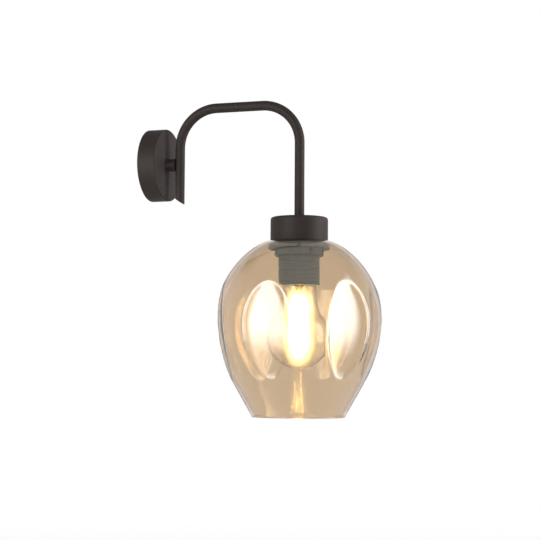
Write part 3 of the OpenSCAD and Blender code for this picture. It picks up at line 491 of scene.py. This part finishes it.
def makeShade():
    s = shadeSettings
    bellyZ, low, lean = cupRim - s["bellyDrop"], cupRim - s["height"], math.radians(s["rimLean"])
    shoulder = [Vector(p) for p in (
        (s["seatRadius"], cupRim),
        (s["seatRadius"] + s["seatPull"][0], cupRim - s["seatPull"][1]),
        (s["bellyRadius"], bellyZ + s["bellyPullUp"] * s["bellyDrop"]),
        (s["bellyRadius"], bellyZ))]
    flank = [Vector(p) for p in (
        (s["bellyRadius"], bellyZ),
        (s["bellyRadius"], bellyZ - s["bellyPullDown"] * (s["height"] - s["bellyDrop"])),
        (s["rimRadius"] + s["rimPull"] * math.sin(lean), low + s["rimPull"] * math.cos(lean)),
        (s["rimRadius"], low))]
    bevelWide, bevelHigh = s["holeEdge"]
    outer = [Vector((s["holeRadius"] + bevelWide, cupRim)), Vector((s["seatFlat"], cupRim))]
    outer += [cubic(shoulder, (k / s["steps"]) ** s["crowding"]) for k in range(s["steps"])]
    outer += [cubic(flank, s["flankEnd"] * k / s["steps"]) for k in range(s["steps"] + 1)]
    inner = []
    for before, point, after in zip(outer[1:], outer[2:], outer[3:]):
        along = (after - before).normalized()
        inner.append(point + s["thickness"] * Vector((along.y, -along.x)))
    along = (outer[-1] - outer[-2]).normalized()
    inward = Vector((along.y, -along.x))
    inner.append(outer[-1] + s["thickness"] * inward)
    # fire-polished rim: half an ellipse from the outer skin to the inner one, down to the low edge
    centre = (outer[-1] + inner[-1]) / 2
    drop = (centre.y - low) / -along.y
    rim = [centre - inward * s["thickness"] / 2 * math.cos(a) + along * drop * math.sin(a)
           for a in (math.pi * k / s["rimSteps"] for k in range(1, s["rimSteps"]))]
    seat = [Vector((s["seatFlat"], cupRim - s["thickness"])),
            Vector((s["holeRadius"] + bevelWide, cupRim - s["thickness"])),
            Vector((s["holeRadius"], cupRim - s["thickness"] + bevelHigh)),
            Vector((s["holeRadius"], cupRim - bevelHigh))]
    outline = outer + rim + inner[::-1] + seat
    blank = spin("glassShade", [tuple(p) for p in outline], s["sides"])
    return runTree("glassShade", blank, dimples, {
        "Count": s["dimples"], "Depth": s["dimpleDepth"] * mm,
        "Half Angle": math.radians(s["dimpleHalfAngle"]), "Half Height": s["dimpleHalfHeight"] * mm,
        "Centre Height": (cupRim - s["dimpleDrop"]) * mm, "Turn": math.radians(s["dimpleTurn"]),
        "Axis Y": lampY, "Edge": s["dimpleEdge"], "Ridge": s["ridge"] * mm,
        "Ridge Width": s["ridgeWidth"]}, amberGlass, sharp=60)


shade = makeShade()
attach(shade, "shade")
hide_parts("glass_shade")
print("glass shade", len(shade.data.polygons), "faces")


# lampholder barrel: outside thread for the shade ring, lip and bore inside; all but flat and valley
# are in mm, and tops are heights in the frame
barrelSettings = {"radius": 19.9, "pitch": 2.5, "depth": 0.45, "fade": 1.5, "flat": 0.95,
                  "valley": -0.7, "mouth": 17.7, "bevel": 0.4, "innerBevel": 0.3, "insert": 17.1,
                  "top": -71.0, "topStep": 0.9, "lip": 15.0, "lipTop": -95.7, "lipHeight": 2,
                  "sides": 128, "step": 0.25}


def makeBarrel():
    s = barrelSettings
    count = round((s["top"] - barrelEnd - 2 * s["bevel"]) / s["step"])
    wall = [(s["radius"], barrelEnd + s["bevel"] + k * s["step"]) for k in range(count + 1)]
    mouth = [(s["mouth"], barrelEnd + s["innerBevel"]), (s["mouth"] + s["innerBevel"], barrelEnd),
             (s["radius"] - s["bevel"], barrelEnd)]
    outline = mouth + wall
    threaded = range(len(mouth), len(outline))
    lipLow = s["lipTop"] - s["lipHeight"]
    outline += [(s["radius"] - s["topStep"], s["top"]), (s["insert"], s["top"]),
                (s["insert"], s["lipTop"]), (s["lip"], s["lipTop"]), (s["lip"], lipLow),
                (s["mouth"], lipLow)]
    blank = spin("lampholderBarrel", outline, s["sides"], threaded)
    return runTree("lampholderBarrel", blank, thread, {
        "Pitch": s["pitch"] * mm, "Depth": s["depth"] * mm, "Low End": barrelEnd * mm,
        "High End": s["top"] * mm, "Fade": s["fade"] * mm, "Axis Y": lampY, "Flat": s["flat"],
        "Valley": s["valley"]}, greyPlastic, sharp=40)


barrel = makeBarrel()
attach(barrel, "lamp")
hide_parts("lampholder_barrel")


# bulb envelope: neck, shoulder and ball with a thin wall, in mm. shoulder is the angle on the ball
# where the shoulder's curve meets it, and the pulls are that curve's reach at its ends.
bulbSettings = {"ball": 30, "neck": 16.2, "neckPull": (1.2, 9), "shoulder": 42, "shoulderPull": 9,
                "inCap": 11.9, "capDepth": 3, "capTube": 6, "capFlare": (1.6, 1.2), "wall": 0.7,
                "shoulderSteps": 20, "ballSteps": 48, "sides": 96}


# half outline from the bulb's neck to its lowest point, inset by so many mm
def bulbLine(inset):
    s = bulbSettings
    radius, start = s["ball"] - inset, math.radians(s["shoulder"])
    centre = Vector((0, bulbLow + s["ball"]))
    neck = Vector((s["neck"] - inset, barrelEnd))
    wide, high = s["neckPull"]
    meeting = centre + radius * Vector((math.cos(start), math.sin(start)))
    pull = s["shoulderPull"] * Vector((-math.sin(start), math.cos(start)))
    curve = [neck, neck + Vector((wide, -high)), meeting + pull, meeting]
    line = [cubic(curve, k / s["shoulderSteps"]) for k in range(s["shoulderSteps"] + 1)]
    for k in range(1, s["ballSteps"]):
        turn = start - (start + math.pi / 2) * k / s["ballSteps"]
        line.append(centre + radius * Vector((math.cos(turn), math.sin(turn))))
    return [tuple(point) for point in line] + [(0, centre.y - radius)]


def makeEnvelope():
    s = bulbSettings
    capEnd = barrelEnd + s["capDepth"]
    wide, high = s["capFlare"]
    skins = []
    for inset in (0, s["wall"]):
        radius = s["inCap"] - inset
        skins.append([(radius, capEnd + s["capTube"]), (radius, capEnd),
                      (radius + wide, capEnd - high)] + bulbLine(inset))
    outer, inner = skins
    mesh = spin("bulbEnvelope", outer + inner[::-1], s["sides"])
    return meshPiece("bulbEnvelope", mesh, bulbGlass, sharp=50)


# spindle that carries the painted glare inside the bulb
def makeGlow():
    s = glowSettings
    heights = [math.cos(math.pi * k / s["rows"]) for k in range(s["rows"] + 1)]
    outline = [(s["halfWidth"] * math.sqrt(1 - h ** s["bluntness"]),
                s["centre"] + s["halfHeight"] * h) for h in heights]
    return meshPiece("bulbDazzle", spin("bulbDazzle", outline, s["sides"]), paintedGlareFinish)


envelope, glowPiece = makeEnvelope(), makeGlow()
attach(glowPiece, "bulb")
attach(envelope, "bulb")
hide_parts("bulb_envelope")
print("holder and bulb made")

# finishes of the CAD nodes
finishes = {
    powderCoat: ["wall_plate", "plate_screws", "arm_stub", "arm_tube", "arm_end_bush", "holder_cup"],
    zincPlate: ["wall_bracket", "terminal_screws", "block_screw", "nipple_washer", "cup_washer",
                "holder_terminal_screws"],
    machinedBrass: ["terminal_tubes", "earth_screw", "arm_nipple", "nipple_nut", "screw_shell",
                    "centre_contact", "side_contact", "holder_terminals"],
    nickelPlate: ["bulb_cap", "filament_wires"], solderDot: ["bulb_contact"],
    greyPlastic: ["lampholder_cap", "lampholder_barrel", "shade_ring"], whiteNylon: ["terminal_block"],
    porcelain: ["lampholder_insert"], vitrite: ["bulb_insulator"], brownPvc: ["live_wire"],
    bluePvc: ["neutral_wire"], earthPvc: ["earth_lead"], boardLaminate: ["bulb_driver"],
    mountGlass: ["bulb_stem"], bulbGlass: ["bulb_envelope"], amberGlass: ["glass_shade"],
    phosphor: ["bulb_filaments"]}
for material, names in finishes.items():
    for name in names:
        cadNodes[name].data.materials.clear()
        cadNodes[name].data.materials.append(material)
cadNodes["wall_plate"].visible_glossy = False      # the real shade shows no mirror image of it
print("CAD nodes finished")

# soft studio light: two tall softboxes beside the camera and one overhead, all turned to the shade;
# angles go round from the camera, sizes in metres, fade is the share of width and height that fades
shadeCentre = Vector((0, lampY, -0.16))
sideways = Vector((math.cos(azimuth), math.sin(azimuth), 0))
forwards = Vector((math.sin(azimuth), -math.cos(azimuth), 0))
studioSettings = {
    "leftBox": {"angle": -45, "height": 0.1, "distance": 1.1, "size": (0.78, 1.25), "watts": 37,
                "fade": (0.35, 0.3), "shine": 10.5},
    "rightBox": {"angle": 83, "height": 0.24, "distance": 1.1, "size": (0.85, 1.6), "watts": 44,
                 "fade": (0.2, 0.3), "shine": 10.5},
    "topBox": {"angle": 20, "height": 1.3, "distance": 0.5, "size": (0.8, 0.8), "watts": 7,
               "fade": (0.1, 0.1), "shine": 0}}


# level over a softbox's cloth: full in the middle, fading out over part of its width and height
def fadeOut(tree, spot, fade):
    spot = addNode(tree, "ShaderNodeSeparateXYZ", [spot])
    level = 1.0
    for axis, part in zip("XY", fade):
        off = addNode(tree, "ShaderNodeMath", [spot.outputs[axis], 0.5], operation="SUBTRACT")
        off = addNode(tree, "ShaderNodeMath", [off], operation="ABSOLUTE")
        edge = addNode(tree, "ShaderNodeMapRange",
                       {"Value": off, "From Min": 0.5, "From Max": 0.5 - part},
                       interpolation_type="SMOOTHSTEP")
        level = addNode(tree, "ShaderNodeMath", [edge, level], operation="MULTIPLY")
    return level


# the softbox's cloth as mirrors see it; the eye doesn't, not even straight through the glass
def makeCloth(name, s, place, rotation):
    wide, high = s["size"]
    corners = ((0, 0), (1, 0), (1, 1), (0, 1))
    mesh = bpy.data.meshes.new(name + "Cloth")
    mesh.from_pydata([place + rotation @ Vector(((x - 0.5) * wide, (y - 0.5) * high, 0))
                      for x, y in corners], [], [(0, 1, 2, 3)])
    spread = mesh.uv_layers.new(name="cloth")
    for k, corner in enumerate(corners):
        spread.data[k].uv = corner
    material = bpy.data.materials.new(name + "Cloth")
    material.use_nodes = True
    tree = material.node_tree
    spot = addNode(tree, "ShaderNodeTexCoord").outputs["UV"]
    level = fadeOut(tree, spot, s["fade"])
    way = addNode(tree, "ShaderNodeLightPath")
    mirrored = addNode(tree, "ShaderNodeMath", [way.outputs["Glossy Depth"], 0.5],
                       operation="GREATER_THAN")
    bare = addNode(tree, "ShaderNodeMath", [1.0, way.outputs["Diffuse Depth"]],
                   operation="SUBTRACT", use_clamp=True)
    level = addNode(tree, "ShaderNodeMath", [level, mirrored], operation="MULTIPLY")
    level = addNode(tree, "ShaderNodeMath", [level, bare], operation="MULTIPLY")
    power = addNode(tree, "ShaderNodeMath", [level, s["shine"]], operation="MULTIPLY")
    glow = addNode(tree, "ShaderNodeEmission", {"Strength": power})
    both = addNode(tree, "ShaderNodeAddShader", [glow, addNode(tree, "ShaderNodeBsdfTransparent")])
    tree.links.new(both.outputs[0], tree.nodes["Material Output"].inputs["Surface"])
    material.cycles.emission_sampling = "NONE"
    cloth = meshPiece(name + "Cloth", mesh, material)
    cloth.visible_camera = cloth.visible_shadow = cloth.visible_diffuse = False


# a softbox lights what is matt; what mirrors show of it is its cloth
def makeSoftbox(name, s):
    light = bpy.data.lights.new(name, "AREA")
    light.shape = "RECTANGLE"
    light.size, light.size_y = s["size"]
    light.energy = s["watts"]
    light.use_nodes = True
    spot = addNode(light.node_tree, "ShaderNodeNewGeometry").outputs["Parametric"]
    level = fadeOut(light.node_tree, spot, s["fade"])
    light.node_tree.links.new(level.outputs[0], light.node_tree.nodes["Emission"].inputs["Strength"])
    box = bpy.data.objects.new(name, light)
    scene.collection.objects.link(box)
    turn = math.radians(s["angle"])
    away = forwards * math.cos(turn) + sideways * math.sin(turn)
    box.location = shadeCentre + away * s["distance"] + Vector((0, 0, s["height"]))
    box.rotation_mode = "QUATERNION"
    box.rotation_quaternion = (shadeCentre - box.location).to_track_quat("-Z", "Y")
    box.visible_camera = box.visible_glossy = box.visible_transmission = False
    if s["shine"]:
        makeCloth(name, s, box.location, box.rotation_quaternion)


# warm light that the bulb throws on what is near it
glowLampSettings = {"watts": 0.5, "colour": (1.0, 0.72, 0.38), "radius": 0.012, "height": -0.15}


def makeGlowLamp():
    s = glowLampSettings
    light = bpy.data.lights.new("bulbGlow", "POINT")
    light.energy = s["watts"]
    light.color = s["colour"]
    light.shadow_soft_size = s["radius"]
    lamp = bpy.data.objects.new("bulbGlow", light)
    lamp.location = (0, lampY, s["height"])
    lamp.visible_camera = lamp.visible_glossy = lamp.visible_transmission = False
    scene.collection.objects.link(lamp)


for name, settings in studioSettings.items():
    makeSoftbox(name, settings)
makeGlowLamp()
print("lights made")

# white room: full to the eye, dimmer as a source of light, and with a darker ceiling above the
# softboxes for all but the camera. The ceiling sets in from ceilingFrom to ceilingTo, as the height
# of a direction's tip one unit away.
roomSettings = {"light": 0.55, "seen": 1.0, "ceiling": 0.5, "ceilingFrom": 0.3, "ceilingTo": 0.7}


def makeRoom():
    s = roomSettings
    world = bpy.data.worlds.new("studio")
    world.use_nodes = True
    tree = world.node_tree
    way, eye = seenByEye(tree)
    strength = addNode(tree, "ShaderNodeMapRange",
                       {"Value": eye, "To Min": s["light"], "To Max": s["seen"]})
    sight = addNode(tree, "ShaderNodeTexCoord").outputs["Generated"]
    sight = addNode(tree, "ShaderNodeSeparateXYZ", [sight])
    ceiling = addNode(tree, "ShaderNodeMapRange",
                      {"Value": sight.outputs["Z"], "From Min": s["ceilingFrom"],
                       "From Max": s["ceilingTo"], "To Min": 1.0, "To Max": s["ceiling"]},
                      interpolation_type="SMOOTHSTEP")
    ceiling = addNode(tree, "ShaderNodeMath", [ceiling, way.outputs["Is Camera Ray"]],
                      operation="MAXIMUM")
    strength = addNode(tree, "ShaderNodeMath", [strength, ceiling], operation="MULTIPLY")
    background = tree.nodes["Background"]
    background.inputs["Color"].default_value = (1, 1, 1, 1)
    tree.links.new(strength.outputs[0], background.inputs["Strength"])
    return world


scene.world = makeRoom()

# pale floor far below the lamp; it fades into the white round it, and is clear from underneath
floorSettings = {"height": -0.62, "radius": 3.0, "sides": 96, "fadeFrom": 0.5, "fadeTo": 2.85,
                 "lift": 0.7}


def makeFloor():
    s = floorSettings
    mesh = bpy.data.meshes.new("floor")
    edge = [(s["radius"] * math.cos(a), s["radius"] * math.sin(a), s["height"])
            for a in (2 * math.pi * k / s["sides"] for k in range(s["sides"]))]
    mesh.from_pydata(edge, [], [list(range(s["sides"]))])
    paint = solidFinish(      # matt white studio floor
        "mattWhiteFloor", "#f6f5f3", "#f1f0ee", 400, (0.7, 0.8), 20, 0.02)
    tree = paint.node_tree
    place = addNode(tree, "ShaderNodeTexCoord").outputs["Object"]
    flat = addNode(tree, "ShaderNodeVectorMath", [place, (1, 1, 0)], operation="MULTIPLY")
    away = addNode(tree, "ShaderNodeVectorMath", [flat], operation="LENGTH").outputs["Value"]
    fade = addNode(tree, "ShaderNodeMapRange",
                   {"Value": away, "From Min": s["fadeFrom"], "From Max": s["fadeTo"]},
                   interpolation_type="SMOOTHSTEP")
    # to the eye it is lifted towards white, so that a shadow on it stays faint
    lift = addNode(tree, "ShaderNodeMath", [seenByEye(tree)[1], s["lift"]], operation="MULTIPLY")
    white = addNode(tree, "ShaderNodeEmission", [(1, 1, 1, 1), 1.0])
    lit = addNode(tree, "ShaderNodeMixShader", [lift, tree.nodes["Principled BSDF"], white])
    below = addNode(tree, "ShaderNodeNewGeometry").outputs["Backfacing"]
    gone = addNode(tree, "ShaderNodeMath", [fade, below], operation="MAXIMUM")
    nothing = addNode(tree, "ShaderNodeBsdfTransparent")
    mixed = addNode(tree, "ShaderNodeMixShader", [gone, lit, nothing])
    tree.links.new(mixed.outputs[0], tree.nodes["Material Output"].inputs["Surface"])
    return meshPiece("floor", mesh, paint)


floor = makeFloor()
print("studio set")
